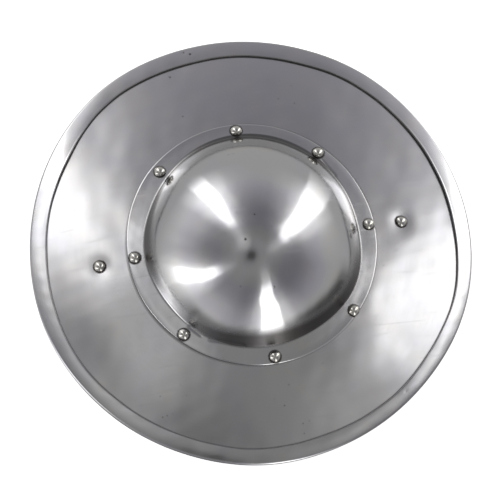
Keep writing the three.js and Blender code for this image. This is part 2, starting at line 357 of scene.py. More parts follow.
def dish_surface(columns=660):
    """The section turned round Z: radius plus its push out of round, in the direction of each angle,
    and then the press off the face. The rim's lobes grow from nothing at the flange to all at the rim.
    The hem's edge has lobes of its own, and the hem has small mallet dents and lifts."""
    angle = all_round(columns)
    radius, height = section[:, :1], section[:, 1:]
    reach = np.maximum(0, (radius - FLANGE_RADIUS) / (RIM_RADIUS - FLANGE_RADIUS))
    share = wander[:, None]
    radius = radius + reach * lobes(angle, *RIM_LOBES)
    shift = share * (lobes(angle, *HEM_EDGE_LOBES) + lobes(angle, *RAGGED_LOBES))
    radius, height = radius + shift, height - shift * np.tan(SLOPE)
    x, y = radius * np.cos(angle), radius * np.sin(angle)
    dents = waves(x, y, seed=8, longest=26, shortest=9, depth=0.02)
    mallet = share * (dents + swells(angle, *HEM_LIFTS))
    press = dish_press(x, y) + mallet + (share > 0) * knocks(x, y, HEM_PITS)
    return turned(radius + press * OFF_FACE[0], np.maximum(height + press * OFF_FACE[1], 0.0), angle)


dish_grid = dish_surface()
print("dish size:", np.ptp(dish_grid, axis=(0, 1)).round(1), "mm")

# %% [markdown]
# Painted shade darkens the hem's mouth and its cut edge, where the gap under the hem is in shadow, and
# the dish along the flange's edge, where the crevice is. The masks are worked out on the surface's own
# grid, so that they follow each wander of the hem.

# %% Dish wear and painted shade
CUT_ROWS = 5  # from the lip's first row to where it turns down
MOUTH_FADE = 0.55
MOUTH_SHADE, MOUTH_SWELLS = 0.45, ((75, 65, 0.5),)  # how dark the painted shadow along the mouth's fringe is, most at the top
# painted shadow in the crevice along the flange's edge: how dark, and how wide
FLANGE_SHADE, FLANGE_SHADE_WIDTH = 0.6, 0.5


def dish_paints(grid):
    """Wear is a bell over the rows of the hem's lip. The painted shade is 1 inside the hem's mouth and
    0.9 on its cut edge, and fades as bells out over the open face and off the flange's edge: painted
    shadow in the gap under the hem and in the crevice at the flange's edge."""
    radius = np.hypot(grid[..., 0], grid[..., 1])
    row = np.arange(len(wander))[:, None]
    lip = np.argmax(wander == 1)
    last_under = len(wander) - 1 - np.argmax(wander[::-1] > 0)
    into_mouth = radius - radius[lip + CUT_ROWS]
    inside = np.clip(into_mouth / 0.4 + 0.3, 0, 1) ** 2
    shade = MOUTH_SHADE + swells(all_round(grid.shape[1]), *MOUTH_SWELLS)
    fringe = shade * bell(into_mouth + 0.3, MOUTH_FADE)
    foot = FLANGE_SHADE * bell(np.maximum(radius - FLANGE_RADIUS, 0), FLANGE_SHADE_WIDTH)
    grime = (row > last_under) * np.maximum(inside, np.maximum(fringe, foot))
    cut = 0.9 * bell(row - lip - CUT_ROWS, 3.0)
    return {"wear": bell(row - lip, 2.0), "grime": np.maximum(grime, cut)}


dish = skin("sheet_dish", dish_grid, ring=True, **dish_paints(dish_grid))
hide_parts("dish")

# %% [markdown]
# ## The boss
#
# The boss is raised from one sheet: a cap of a sphere that turns out through a tight fillet into a flat
# flange, which lies along the dish. Its inside follows its outside at one sheet's thickness. The tool
# that set the fillet left short creases and a few knocks.

# %% Boss section
BOSS_RADIUS = 73.2
BOSS_HEIGHT = 48.8
BOSS_FILLET = 2.2
FOOT_LEAN = lean_at(BOSS_RADIUS)
FOOT_DOWN = np.array([np.cos(FOOT_LEAN), -np.sin(FOOT_LEAN)])
FOOT_OFF = np.array([np.sin(FOOT_LEAN), np.cos(FOOT_LEAN)])
FLANGE_GAP = 0.1
FLANGE_ROUND = 0.45  # corners of the flange's cut edge
FLAT_TO = FLANGE_RADIUS - 0.4


def boss_section():
    """Rows of (radius, height, normal radius, normal height), from the inside's pole to the outside's.
    The dome's radius is (r^2 + h^2) / 2h. The fillet's centre lies one fillet radius off both the dome
    and the flange, where a line along the flange meets a circle round the dome's centre."""
    lift = SHEET + FLANGE_GAP
    base = on_dish(BOSS_RADIUS, lift)
    dome = (BOSS_RADIUS**2 + BOSS_HEIGHT**2) / (2 * BOSS_HEIGHT)
    centre = np.array([0.0, base[1] + BOSS_HEIGHT - dome])
    start = base + FOOT_OFF * BOSS_FILLET - centre
    half_b = start @ FOOT_DOWN
    along = -half_b + np.sqrt(half_b**2 - start @ start + (dome + BOSS_FILLET) ** 2)
    fillet = start + FOOT_DOWN * along + centre
    steepest = np.arctan2(fillet[0], fillet[1] - centre[1])

    def run(depth, rows, flat_rows):
        """One face at a depth under the outside, pole first."""
        dome_lean = spread(0, steepest, rows + 1, 1.3)[1:]
        fillet_lean = np.linspace(steepest, FOOT_LEAN, 13)[1:]
        lean = np.concatenate([dome_lean, fillet_lean])
        about = np.where(np.arange(len(lean))[:, None] < rows, centre, fillet)
        size = np.where(np.arange(len(lean)) < rows, dome - depth, -(BOSS_FILLET + depth))
        normal = np.column_stack([np.sin(lean), np.cos(lean)])
        curve = about + size[:, None] * normal
        flange = on_dish(spread(curve[-1, 0], FLAT_TO, flat_rows)[1:], lift - depth)
        flat = np.broadcast_to(FOOT_OFF, flange.shape)
        return np.vstack([np.hstack([curve, normal]), np.hstack([flange, flat])])

    turn = np.radians(np.linspace(6, 174, 11))
    out = FLANGE_ROUND * np.sin(turn)
    off = np.sign(np.cos(turn)) * (SHEET / 2 - FLANGE_ROUND) + FLANGE_ROUND * np.cos(turn)
    edge = on_dish(FLANGE_RADIUS - FLANGE_ROUND, lift - SHEET / 2)
    edge = edge + out[:, None] * FOOT_DOWN + off[:, None] * FOOT_OFF
    edge = np.hstack([edge, np.broadcast_to(FOOT_OFF, edge.shape)])
    return np.vstack([run(SHEET, 24, 8), edge[::-1], run(0.0, 72, 28)[::-1]])


boss_rows = boss_section()
print("boss section:", len(boss_rows), "points, top", boss_rows[:, 1].max().round(2), "mm")

# %% Boss surface
FOOT_LOBES = ((1, 0.9, 47), (2, 0.5, -86), (3, 0.5, -35), (4, 0.25, -22), (5, 0.5, 35), (7, 0.2, 23))
FLANGE_LOBES = ((2, 0.7, -59), (11, 0.05, 4), (17, 0.04, 9))
FOOT_GROWS, FOOT_ENDS = (50, 73), (75, 80)  # radii over which the foot's own lobes come and go
FOOT_KNOCKS = ((-49.5, -47.5, 2.2, -0.25), (48.6, -50.5, 2.0, -0.2))
CREASES = (  # from x, y to x, y, width and depth
    (-52.3, -51.7, -46.0, -58.4, 0.9, -0.3),
    (-39.9, -62.8, -18.7, -70.5, 0.9, -0.28),
    (57.7, 50.5, 64.5, 38.6, 0.7, -0.2),
)


def creases(x, y, marks):
    """Sum of straight furrows, depth * bell(distance, width), where the distance is taken to the
    nearest point between the furrow's two ends."""
    total = np.zeros(np.shape(x))
    for from_x, from_y, to_x, to_y, width, depth in marks:
        run_x, run_y = to_x - from_x, to_y - from_y
        share = ((x - from_x) * run_x + (y - from_y) * run_y) / (run_x**2 + run_y**2)
        share = np.clip(share, 0, 1)
        total += depth * bell(np.hypot(x - from_x - share * run_x, y - from_y - share * run_y), width)
    return total


def boss_surface(columns=560):
    """The boss's section turned round Z, pushed out of round at its foot and at the flange's edge, and
    pressed along its own normal by polishing waves, fillet creases and knocks."""
    angle = all_round(columns)
    radius, height, normal_out, normal_up = (boss_rows[:, i : i + 1] for i in range(4))
    at_edge = np.clip((radius - FOOT_ENDS[1]) / (FLANGE_RADIUS - FOOT_ENDS[1]), 0, 1) ** 2
    radius = radius + at_edge * lobes(angle, *FLANGE_LOBES)
    at_foot = smooth_step(radius, *FOOT_GROWS) * (1 - smooth_step(radius, *FOOT_ENDS))
    shift = at_foot * lobes(angle, *FOOT_LOBES)
    radius, height = radius + shift, height - shift * np.tan(FOOT_LEAN)
    x, y = radius * np.cos(angle), radius * np.sin(angle)
    press = waves(x, y, seed=12, longest=60, shortest=22, depth=0.035)
    press = press + waves(x, y, seed=13, longest=14, shortest=6, depth=0.005)
    press = press + knocks(x, y, FOOT_KNOCKS) + creases(x, y, CREASES)
    return turned(radius + press * normal_out, height + press * normal_up, angle)


boss_grid = boss_surface()
print("boss size:", np.ptp(boss_grid, axis=(0, 1)).round(1), "mm")

# %% [markdown]
# A band of painted shade darkens the boss's foot, and a line of painted shade its fillet. The band is
# set by radius, and bells over the bearing move its edges, soften it or clear it.

# %% Boss wear and painted shade
# painted shade in a band at the boss's foot: how dark, and bells over the bearing that change it
FOOT_SHADE = 0.78
FOOT_SHADE_SWELLS = ((283, 45, 0.2), (212, 15, -0.7), (127, 14, -0.6), (5, 22, -0.5))
BAND_FROM, FROM_SWELLS = 71.3, ((268, 38, -1.8),)
BAND_SOFT, SOFT_SWELLS = 0.8, ((275, 55, 4.5), (330, 30, 3.5), (175, 20, 4))
BAND_TO, TO_SWELLS = 73.8, ((75, 45, 2.6),)


def boss_paints(columns):
    """Wear is a bell on the flange's cut edge. The painted shade is a line in the fillet, and a band of
    painted shade at the foot between two smooth steps of radius that shift with the bearing."""
    radius, angle = boss_rows[:, :1], all_round(columns)
    inner = BAND_FROM + swells(angle, *FROM_SWELLS)
    soft = BAND_SOFT + swells(angle, *SOFT_SWELLS)
    outer = BAND_TO + swells(angle, *TO_SWELLS)
    band = smooth_step(radius, inner - soft, inner) * (1 - smooth_step(radius, outer - 0.3, outer + 0.5))
    foot_shade = band * np.clip(FOOT_SHADE + swells(angle, *FOOT_SHADE_SWELLS), 0, 1)
    # painted shade along the fillet's crease
    fillet = 0.45 * bell(radius - BOSS_RADIUS - 0.8, 0.6)
    return {"wear": bell(radius - FLANGE_RADIUS, 0.5), "grime": np.maximum(fillet, foot_shade)}


boss = skin("domed_boss", boss_grid, **boss_paints(boss_grid.shape[1]))
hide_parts("boss")

# %% [markdown]
# ## The rivets
#
# Each rivet is a round head in front, a shank through the sheets and a low hammered tail behind. No two
# are quite alike: each gets its own lean, height and lobes from a seed. A rivet's place comes from
# the box of its CAD node, and those of the boss stray a little from it.

# %% Rivet section
HEAD_RADIUS, HEAD_HEIGHT = 3.8, 2.9
TAIL_RADIUS, TAIL_HEIGHT = 3.2, 1.2
SHANK_RADIUS = 2.0
CLEARANCE = 0.3
SKIRT = CLEARANCE + 0.05  # the head's foot hangs down this far, onto the sheet
FOOT_ROUND = 0.15
HEAD_ROWS, FOOT_ROWS = 15, 3
EVEN_TURN = 45  # degrees between the boss rivets, were they even
OWN_PLACES = {  # by even bearing: degrees turned, and mm further out
    0: (-0.6, 0), 45: (0.2, -0.5), 135: (-0.8, 0), 180: (-0.5, -0.8), 270: (0.2, -0.5), 315: (0.7, 0.3),
}


def polar(at):
    """Bearing of a place, and its distance from the middle."""
    return np.arctan2(at[1], at[0]), np.hypot(at[0], at[1])


def set_by_hand(at):
    """A boss rivet's own place: turned by some degrees, and moved out by some mm along the slope."""
    bearing, far = polar(at)
    turn, out = OWN_PLACES.get(round(np.degrees(bearing) % 360 / EVEN_TURN) * EVEN_TURN % 360, (0, 0))
    bearing, far = bearing + np.radians(turn), far + out
    return np.array([far * np.cos(bearing), far * np.sin(bearing), at[2] - out * np.tan(SLOPE)])


def rivet_rows(grip):
    """Profile (radius, height) from the tail's pole to the head's: quarter ellipses for tail and head,
    a straight shank between, and a skirt that carries the head's foot down onto the sheet."""
    tail = np.linspace(np.pi / 2, 0.1, 8)[1:]
    head = np.linspace(0, np.pi / 2, HEAD_ROWS + 1)[:-1]
    under = CLEARANCE - grip
    foot = HEAD_RADIUS - FOOT_ROUND
    return np.vstack([
        np.column_stack([TAIL_RADIUS * np.cos(tail), -grip - TAIL_HEIGHT * np.sin(tail)]),
        [[TAIL_RADIUS, under], [SHANK_RADIUS, under]],
        [[SHANK_RADIUS, -SKIRT], [foot, -SKIRT], [HEAD_RADIUS, FOOT_ROUND - SKIRT]],
        np.column_stack([HEAD_RADIUS * np.cos(head), HEAD_HEIGHT * np.sin(head)]),
    ])


print("boss rivet section:", len(rivet_rows(2 * SHEET)), "points")

# %% Rivets
BOSS_RIVETS = tuple(f"boss_rivet_{i}" for i in range(1, 9))
STRAP_THICKNESS, STRAP_GAP = 3.0, 0.5
GRIPS = dict.fromkeys(BOSS_RIVETS, 2 * SHEET + 3 * CLEARANCE)
GRIPS.update(dict.fromkeys(HANDLE_RIVETS, SHEET + STRAP_GAP + STRAP_THICKNESS + 2 * CLEARANCE))


def rivet_surface(node, grip, drop, seed, columns=48):
    """The profile turned round its own axis, with lobes cos(2a) and cos(3a) on its radius, stood square
    to the dish's face with a small lean, and moved so that its box is centred on its place, less the
    drop into a dimple and the sheet's crown."""
    draw = np.random.default_rng(seed)
    rows = rivet_rows(grip)
    angle = all_round(columns)
    uneven = lobes(angle, (2, 0.02, draw.uniform(0, 360)), (3, 0.012, draw.uniform(0, 360)))
    head_share = np.clip(rows[:, 1:] / HEAD_HEIGHT, 0, 1)
    height = rows[:, 1:] * (1 + head_share * draw.uniform(-0.05, 0.03))
    local = turned(rows[:, :1] * (1 + uneven), height, angle)
    at = set_by_hand(middle(node)) if node in BOSS_RIVETS else middle(node)
    round_z, far = polar(at)
    lean = lean_at(far) + np.radians(draw.uniform(-2, 2))
    stood = Matrix.Rotation(round_z, 3, "Z") @ Matrix.Rotation(lean, 3, "Y")
    world = local @ np.array(stood).T
    own = (world.min(axis=(0, 1)) + world.max(axis=(0, 1))) / 2
    return world + at - own - drop * np.array(stood.col[2]) - [0, 0, crown(far)]


def rivet_paints(rows):
    """The painted shade is 1 at the head's foot, where it meets the sheet, and fades up its side as a
    bell over the rows.
    """
    foot = np.zeros((rows, 1))
    foot[-HEAD_ROWS - FOOT_ROWS :, 0] = bell(np.arange(HEAD_ROWS + FOOT_ROWS), 7.0)
    return foot


rivets = []
for seed, (node, grip) in enumerate(GRIPS.items()):
    drop = DIMPLE_DEPTH if node in HANDLE_RIVETS else 0.0
    grid = rivet_surface(node, grip, drop, seed)
    rivet = skin(f"round_{node}", grid, grime=rivet_paints(len(grid)))
    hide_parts(node)
    rivets.append(rivet)


# %% [markdown]
# ## The handle
#
# Behind the boss a strap is riveted to the dish at both ends and rolled up in the middle into an open
# tube that fills the fist. It is bent by arc length: a point across it moves round a circle that is
# small at the grip and grows flat towards the ends.

# %% Handle
STRAP_HALF_LENGTH = 117.0
STRAP_TIP, TIP_NARROWING = 13.0, 0.6
STRAP_WIDTH, GRIP_WIDTH = 26.0, 42.0
STRAP_ROUND = 0.7  # how far the rounded edges stand out
ROLLED_TO, FLAT_FROM, RESTS_FROM = 42, 78, 96  # distances from the middle along the strap
GRIP_LOW, GRIP_BEND = 8.0, 8.5  # height of the grip's lowest line, and its bend radius
HANDLE_Y = 1.6  # the strap runs a little off the middle


def strap_outline(count=28, arc=9):
    """Closed outline of the strap's section: (across from -1/2 to 1/2, off in mm), with round edges."""
    turn = np.linspace(-np.pi / 2, np.pi / 2, arc)
    half = STRAP_THICKNESS / 2
    flat = np.linspace(-0.5, 0.5, count)[1:-1]
    edge_out, edge_off = STRAP_ROUND * np.cos(turn), half * np.sin(turn)
    across = np.concatenate([flat, np.full(arc, 0.5), flat[::-1], np.full(arc, -0.5)])
    out = np.concatenate([0 * flat, edge_out, 0 * flat, -edge_out])
    off = np.concatenate([0 * flat - half, edge_off, 0 * flat + half, edge_off[::-1]])
    return across, out, off


def handle_surface(rows=150):
    """Stations along X lie by a sine, so that they crowd into the tips. At each one the strap has a
    width, a height and a bend radius, and a point turns by across / radius round that circle."""
    across, out, off = strap_outline()
    station = np.linspace(-1, 1, rows + 2)[1:-1, None]
    x = STRAP_HALF_LENGTH * np.sin(station * np.pi / 2)
    far = np.abs(x)
    rolled = 1 - smooth_step(far, ROLLED_TO, FLAT_FROM)
    tip = np.clip((far - (STRAP_HALF_LENGTH - STRAP_TIP)) / STRAP_TIP, 0, 1)
    narrowing = 1 - TIP_NARROWING * (1 - np.sqrt(1 - tip**2))
    width = (STRAP_WIDTH + (GRIP_WIDTH - STRAP_WIDTH) * rolled**2) * narrowing
    lying = on_dish(far, -(SHEET + STRAP_GAP + STRAP_THICKNESS / 2 + 0.2))[..., 1]
    lowest = GRIP_LOW + (lying - GRIP_LOW) * smooth_step(far, ROLLED_TO, RESTS_FROM)
    bend = GRIP_BEND / np.maximum(rolled, 0.001)
    along = across * (width - 2 * STRAP_ROUND) + out
    turn = along / bend
    wobble = waves(x + 0 * along, along, seed=21, longest=40, shortest=12, depth=0.12)
    y = HANDLE_Y + (bend - off - wobble) * np.sin(turn)
    z = lowest + bend - (bend - off - wobble) * np.cos(turn)
    return np.stack([x + 0 * y, y, z], axis=-1)


edges = (np.abs(strap_outline()[0]) > 0.49).astype(float)
handle = skin("strap_handle", handle_surface(), wear=edges)
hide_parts("handle")

# %% [markdown]
# ## Effects the steels share
#
# Polished steel carries soft clouds where the wheel pressed more or less, fine streaks that run round
# the piece, hairline scratches, tiny pits from the mill scale, and specks of dirt. Painted shade in
# gaps, corners and round the rivets is mixed in with the dirt.
# Each is one node group here, for any material to use.


# %% Node helpers
def new_group(name, **inputs):
    """Empty shader node group, and its input sockets. Four numbers make a colour input, and one makes a
    plain value. An underscore in a name stands for a space."""
    group = bpy.data.node_groups.new(name, "ShaderNodeTree")
    for label, value in inputs.items():
        kind = "NodeSocketColor" if isinstance(value, tuple) else "NodeSocketFloat"
        label = label.replace("_", " ")
        group.interface.new_socket(label, in_out="INPUT", socket_type=kind).default_value = value
    return group, group.nodes.new("NodeGroupInput").outputs


def give(group, **results):
    """Ends a group with an output socket for each result: a colour if it is called Color."""
    for label in results:
        kind = "NodeSocketColor" if label == "Color" else "NodeSocketFloat"
        group.interface.new_socket(label, in_out="OUTPUT", socket_type=kind)
    sink = group.nodes.new("NodeGroupOutput").inputs
    for label, value in results.items():
        group.links.new(value, sink[label])
    return group


def add(tree, kind, links=(), **settings):
    """Adds a node, sets its properties, and feeds its inputs: (input, socket or value) pairs."""
    node = tree.nodes.new(f"ShaderNode{kind}")
    for key, value in settings.items():
        setattr(node, key, value)
    for key, source in dict(links).items():
        if isinstance(source, bpy.types.NodeSocket):
            tree.links.new(source, node.inputs[key])
        else:
            node.inputs[key].default_value = source
    return node


def math(tree, operation, first, second=0.0, clamp=False):
    """One Math node's result."""
    links = {0: first, 1: second}
    return add(tree, "Math", links, operation=operation, use_clamp=clamp).outputs[0]


def vector(tree, operation, links, output="Vector"):
    """One Vector Math node's result."""
    return add(tree, "VectorMath", links, operation=operation).outputs[output]


def mix(tree, share, first, second):
    """One Mix node's colour: the first, going over to the second as the share goes from 0 to 1."""
    return add(tree, "Mix", {0: share, 6: first, 7: second}, data_type="RGBA").outputs[2]


def noise(tree, at, scale, detail):
    """Soft noise between 0 and 1 at a point."""
    return add(tree, "TexNoise", {"Vector": at, "Scale": scale, "Detail": detail}).outputs["Fac"]


def on_piece(tree):
    """The point of the piece itself that is being shaded, in metres."""
    return add(tree, "TexCoord").outputs["Object"]


# %% Clouds and streaks
def make_clouds():
    """Two sizes of soft noise, centred on 0 and added: the marks of uneven pressure."""
    group, given = new_group("polishing_clouds", Size=0.04, Strength=1.0)
    at = on_piece(group)
    scale = math(group, "DIVIDE", 1.0, given["Size"])
    broad = noise(group, at, scale, 2.0)
    small = noise(group, at, math(group, "MULTIPLY", scale, 3.7), 3.0)
    centred = math(group, "SUBTRACT", math(group, "ADD", broad, small), 1.0)
    return give(group, Value=math(group, "MULTIPLY", centred, given["Strength"]))


def make_streaks():
    """Noise on (cos a, sin a) times a small number and on the radius and height times a large one: it
    changes fast across the streaks and slowly round the piece, with no seam at any angle."""
    group, given = new_group("round_streaks", Spacing=0.0008, Length=5.0, Strength=1.0)
    parts = add(group, "SeparateXYZ", {0: on_piece(group)}).outputs
    flat = add(group, "CombineXYZ", {0: parts[0], 1: parts[1]}).outputs[0]
    radius = vector(group, "LENGTH", {0: flat}, "Value")
    heading = vector(group, "NORMALIZE", {0: flat})
    turn = vector(group, "SCALE", {0: heading, "Scale": given["Length"]})
    way = add(group, "SeparateXYZ", {0: turn}).outputs
    fine = math(group, "DIVIDE", math(group, "ADD", radius, parts[2]), given["Spacing"])
    spot = add(group, "CombineXYZ", {0: way[0], 1: way[1], 2: fine}).outputs[0]
    centred = math(group, "SUBTRACT", noise(group, spot, 1.0, 4.0), 0.5)
    return give(group, Value=math(group, "MULTIPLY", centred, given["Strength"]))


clouds, streaks = make_clouds(), make_streaks()
print("shared effects:", clouds.name, streaks.name)

# %% Scratches and pits
LAID = (0.09, 1.0, 0.09)  # squeezes the noise, so that it runs out into long lines


def make_scratches():
    """Long thin noise laid in three crossing directions. Only its peaks are kept, as hairlines."""
    group, given = new_group("hairline_scratches", Spacing=0.004, Amount=0.5)
    at = on_piece(group)
    scale = math(group, "DIVIDE", 1.0, given["Spacing"])
    total = 0.0
    for turn in (0.5, 2.2, 3.6):
        links = {"Vector": at, "Rotation": (0.0, 0.0, turn), "Scale": LAID}
        laid = add(group, "Mapping", links).outputs[0]
        peak = math(group, "SUBTRACT", noise(group, laid, scale, 1.0), 0.68)
        line = math(group, "MULTIPLY", peak, 14.0, clamp=True)
        total = math(group, "MAXIMUM", total, line)
    return give(group, Mask=math(group, "MULTIPLY", total, given["Amount"]))


def make_pits():
    """Small round spots at the points of a Voronoi pattern, kept to loose groups by a second noise."""
    group, given = new_group("scale_pits", Spacing=0.006, Radius=0.12, Rarity=0.6)
    at = on_piece(group)
    scale = math(group, "DIVIDE", 1.0, given["Spacing"])
    cells = add(group, "TexVoronoi", {"Vector": at, "Scale": scale})
    near = math(group, "DIVIDE", cells.outputs["Distance"], given["Radius"])
    spot = math(group, "SUBTRACT", 1.0, near, clamp=True)
    kept = math(group, "SUBTRACT", noise(group, at, 30.0, 2.0), given["Rarity"])
    kept = math(group, "MULTIPLY", kept, 12.0, clamp=True)
    return give(group, Mask=math(group, "MULTIPLY", spot, kept))


scratches, pits = make_scratches(), make_pits()
print("and:", scratches.name, pits.name)

# %% Dirt specks and painted shade round rivets
HEAD_FOOT = 4.15  # radius of the ring of painted shade round a rivet's head
DISH_SPECKS = (
    (-32.4, 129.0, 0.1), (-108.6, -42.5, -0.4), (-64.2, -88.2, -0.4), (-61.5, -96.0, -0.3),
    (-59.0, -105.8, -0.4), (-19.7, 145.5, 0.0), (-15.6, 143.5, 0.2), (86.4, -114.0, -0.4),
)
BOSS_SPECKS = (
    (-10.6, -10.6, 0.25), (-13.1, 8.9, 0.0), (-1.7, 5.3, 0.0), (-18.2, -39.1, -0.3),
    (-70.5, -1.9, 0.5), (4.2, -43.2, 0.0),
)


def make_spots(name, places):
    """1 within a radius of each place (x, y, radius) as seen from above, and 0 a short way further out.
    Noise breaks the edge."""
    group, given = new_group(name, Softness=0.9)
    flat = vector(group, "MULTIPLY", {0: on_piece(group), 1: (1 / MM, 1 / MM, 0.0)})
    nearest = 1000.0  # further than any place
    for x, y, radius in places:
        away = vector(group, "DISTANCE", {0: flat, 1: (x, y, 0.0)}, "Value")
        nearest = math(group, "MINIMUM", nearest, math(group, "SUBTRACT", away, radius))
    uneven = math(group, "MULTIPLY", math(group, "SUBTRACT", noise(group, flat, 0.9, 2.0), 0.5), 1.2)
    faded = math(group, "DIVIDE", math(group, "ADD", nearest, uneven), given["Softness"])
    print(f"{name}: {len(places)} spots")
    return give(group, Mask=math(group, "SUBTRACT", 1.0, faded, clamp=True))


# painted shade in a ring round each rivet's head, on the sheet it stands on; the specks are dirt
boss_shade_rings = tuple((*set_by_hand(middle(node))[:2], HEAD_FOOT) for node in BOSS_RIVETS)
dish_shade_rings = tuple((*middle(node)[:2], HEAD_FOOT) for node in HANDLE_RIVETS)
boss_spots = make_spots("specks_and_rivet_shade_on_boss", BOSS_SPECKS + boss_shade_rings)
dish_spots = make_spots("specks_and_rivet_shade_on_dish", DISH_SPECKS + dish_shade_rings)


# %% Wear, dirt and painted shade over bare steel
def make_blend():
    """Mixes a worn look and a darkening over the bare steel: out come its colour and its roughness. The
    darkening is painted shade in gaps, corners and round the rivets, and specks of dirt.
    """
    group, given = new_group(
        "wear_and_grime", Color=(0.6, 0.6, 0.6, 1), Roughness=0.2, Wear=0.0,
        Worn_Color=(0.75, 0.75, 0.75, 1), Grime=0.0, Grime_Color=(0.05, 0.045, 0.04, 1),
    )
    worn = mix(group, given["Wear"], given["Color"], given["Worn Color"])
    dirty = mix(group, given["Grime"], worn, given["Grime Color"])
    rubbed = math(group, "MULTIPLY", given["Wear"], -0.05)
    dulled = math(group, "MULTIPLY", given["Grime"], 0.25)
    rough = math(group, "ADD", given["Roughness"], math(group, "ADD", rubbed, dulled), clamp=True)
    return give(group, Color=dirty, Roughness=rough)


wear_and_grime = make_blend()
print("blend:", wear_and_grime.name)

# %% [markdown]
# ## The steels
#
# All the pieces are bare mild steel, so each material is the same recipe with its own numbers: how
# bright, how rough, and how much of each effect. The boss is polished most, and its fine brushing draws
# highlights out. The dish is a softer satin, and the handle keeps the dull skin of rolled strip.

# %% Steel recipe
PIT_COLOR = (0.12, 0.11, 0.1, 1)


def steel(
    name, color, warm, roughness, cloud, streak, scratch, pit,
    bump=0.000006, wear=0.5, grime=0.8, brushed=0.0, spots=None,
):
    """Metallic material. Color runs from color to warm with the clouds, roughness is a base plus
    clouds, streaks and scratches, and the streaks, scratches and pits also dent the surface."""
    material = bpy.data.materials.new(name)
    material.use_nodes = True
    tree = material.node_tree
    shader = tree.nodes["Principled BSDF"]
    shader.inputs["Metallic"].default_value = 1.0
    shader.inputs["Anisotropic"].default_value = brushed
    shader.inputs["Anisotropic Rotation"].default_value = 0.25

    def effect(group, **values):
        """A shared effect's value."""
        return add(tree, "Group", values, node_tree=group).outputs[0]

    tone = effect(clouds, Size=0.05, Strength=1.0)
    patch = effect(clouds, Size=0.021, Strength=cloud)
    line = effect(streaks, Strength=streak)
    hair = effect(scratches, Amount=scratch)
    pitted = effect(pits, Rarity=pit)

    warmth = math(tree, "ADD", math(tree, "MULTIPLY", tone, 2.0), 0.5, clamp=True)
    bare = mix(tree, warmth, (*color, 1), (*warm, 1))
    rough = math(tree, "ADD", patch, line)
    rough = math(tree, "ADD", rough, math(tree, "MULTIPLY", hair, 0.1))
    worn = add(tree, "Attribute", attribute_name="wear").outputs["Fac"]
    # the darkening: each piece's painted shade, with the spots' specks of dirt and painted shade round
    # the rivets
    shade_and_dirt = add(tree, "Attribute", attribute_name="grime").outputs["Fac"]
    if spots:
        shade_and_dirt = math(tree, "MAXIMUM", shade_and_dirt, effect(spots))
    looks = {
        "Color": mix(tree, pitted, bare, PIT_COLOR),
        "Roughness": math(tree, "ADD", rough, roughness),
        "Wear": math(tree, "MULTIPLY", worn, wear),
        "Grime": math(tree, "MULTIPLY", shade_and_dirt, grime),
    }
    finish = add(tree, "Group", looks, node_tree=wear_and_grime).outputs

    low = math(tree, "ADD", math(tree, "MULTIPLY", hair, -0.6), math(tree, "MULTIPLY", pitted, -1.5))
    height = math(tree, "ADD", math(tree, "MULTIPLY", line, 3.0), low)
    relief = add(tree, "Bump", {"Height": height, "Strength": 0.5, "Distance": bump})
    tree.links.new(relief.outputs["Normal"], shader.inputs["Normal"])
    tree.links.new(finish["Color"], shader.inputs["Base Color"])
    tree.links.new(finish["Roughness"], shader.inputs["Roughness"])
    print(f"{name}: roughness about {roughness}")
    return material


# %% Four steels
dish_steel = steel(
    "satin_dish_steel", (0.55, 0.55, 0.57), (0.58, 0.57, 0.56), roughness=0.17, cloud=0.035,
    streak=0.05, scratch=0.28, pit=0.6, wear=0.2, grime=1.0, spots=dish_spots,
)
boss_steel = steel(
    "bright_boss_steel", (0.6, 0.6, 0.62), (0.62, 0.61, 0.6), roughness=0.11, cloud=0.03,
    streak=0.02, scratch=0.45, pit=0.62, grime=0.92, brushed=0.85, spots=boss_spots,
)
rivet_steel = steel(
    "bright_rivet_steel", (0.66, 0.65, 0.61), (0.68, 0.66, 0.6), roughness=0.1, cloud=0.05,
    streak=0.0, scratch=0.3, pit=0.66, grime=1.0,
)
handle_steel = steel(
    "rolled_strap_steel", (0.3, 0.3, 0.3), (0.36, 0.34, 0.32), roughness=0.38, cloud=0.15,
    streak=0.0, scratch=0.6, pit=0.5, bump=0.00005,
)
for piece, material in ((dish, dish_steel), (boss, boss_steel), (handle, handle_steel)):
    piece.data.materials.append(material)
for rivet in rivets:
    rivet.data.materials.append(rivet_steel)


# %% [markdown]
# ## The studio
#
# Polished metal shows the room, not its own colour. Four tall soft boxes hang round the camera, and the
# boss shows them as four bright wedges. They are drawn on the sky: each is a brightness by its bearing
# round the camera's line of sight and its angle off that line. The walls between them are dimmer
# towards the camera, whose own dark shape the boss shows in its middle.

# %% Where a ray is heading
RIG_TURN = np.radians(2.8)  # the lights stand this much to the right of the camera's line
RIG_BACK = CAMERA_BACK * np.cos(RIG_TURN) + CAMERA_RIGHT * np.sin(RIG_TURN)
RIG_RIGHT = CAMERA_RIGHT * np.cos(RIG_TURN) - CAMERA_BACK * np.sin(RIG_TURN)


def sideways(degrees):
    """Direction square to the lights' own axis, at a bearing round it."""
    return np.cos(np.radians(degrees)) * RIG_RIGHT + np.sin(np.radians(degrees)) * CAMERA_UP


room = bpy.data.worlds.new("studio_room")
bpy.context.scene.world = room
room.use_nodes = True
sky = room.node_tree
sky.nodes.clear()
heading = add(sky, "TexCoord").outputs["Generated"]


def along(direction):
    """How much of the heading lies along a direction."""
    return vector(sky, "DOT_PRODUCT", {0: heading, 1: tuple(direction)}, "Value")


def angle_from(direction):
    """Degrees between the heading and a direction."""
    return math(sky, "DEGREES", math(sky, "ARCCOSINE", along(direction)))


off_axis = angle_from(RIG_BACK)
bearing = math(sky, "DEGREES", math(sky, "ARCTAN2", along(CAMERA_UP), along(RIG_RIGHT)))
elevation = math(sky, "DEGREES", math(sky, "ARCSINE", along((0, 0, 1))))


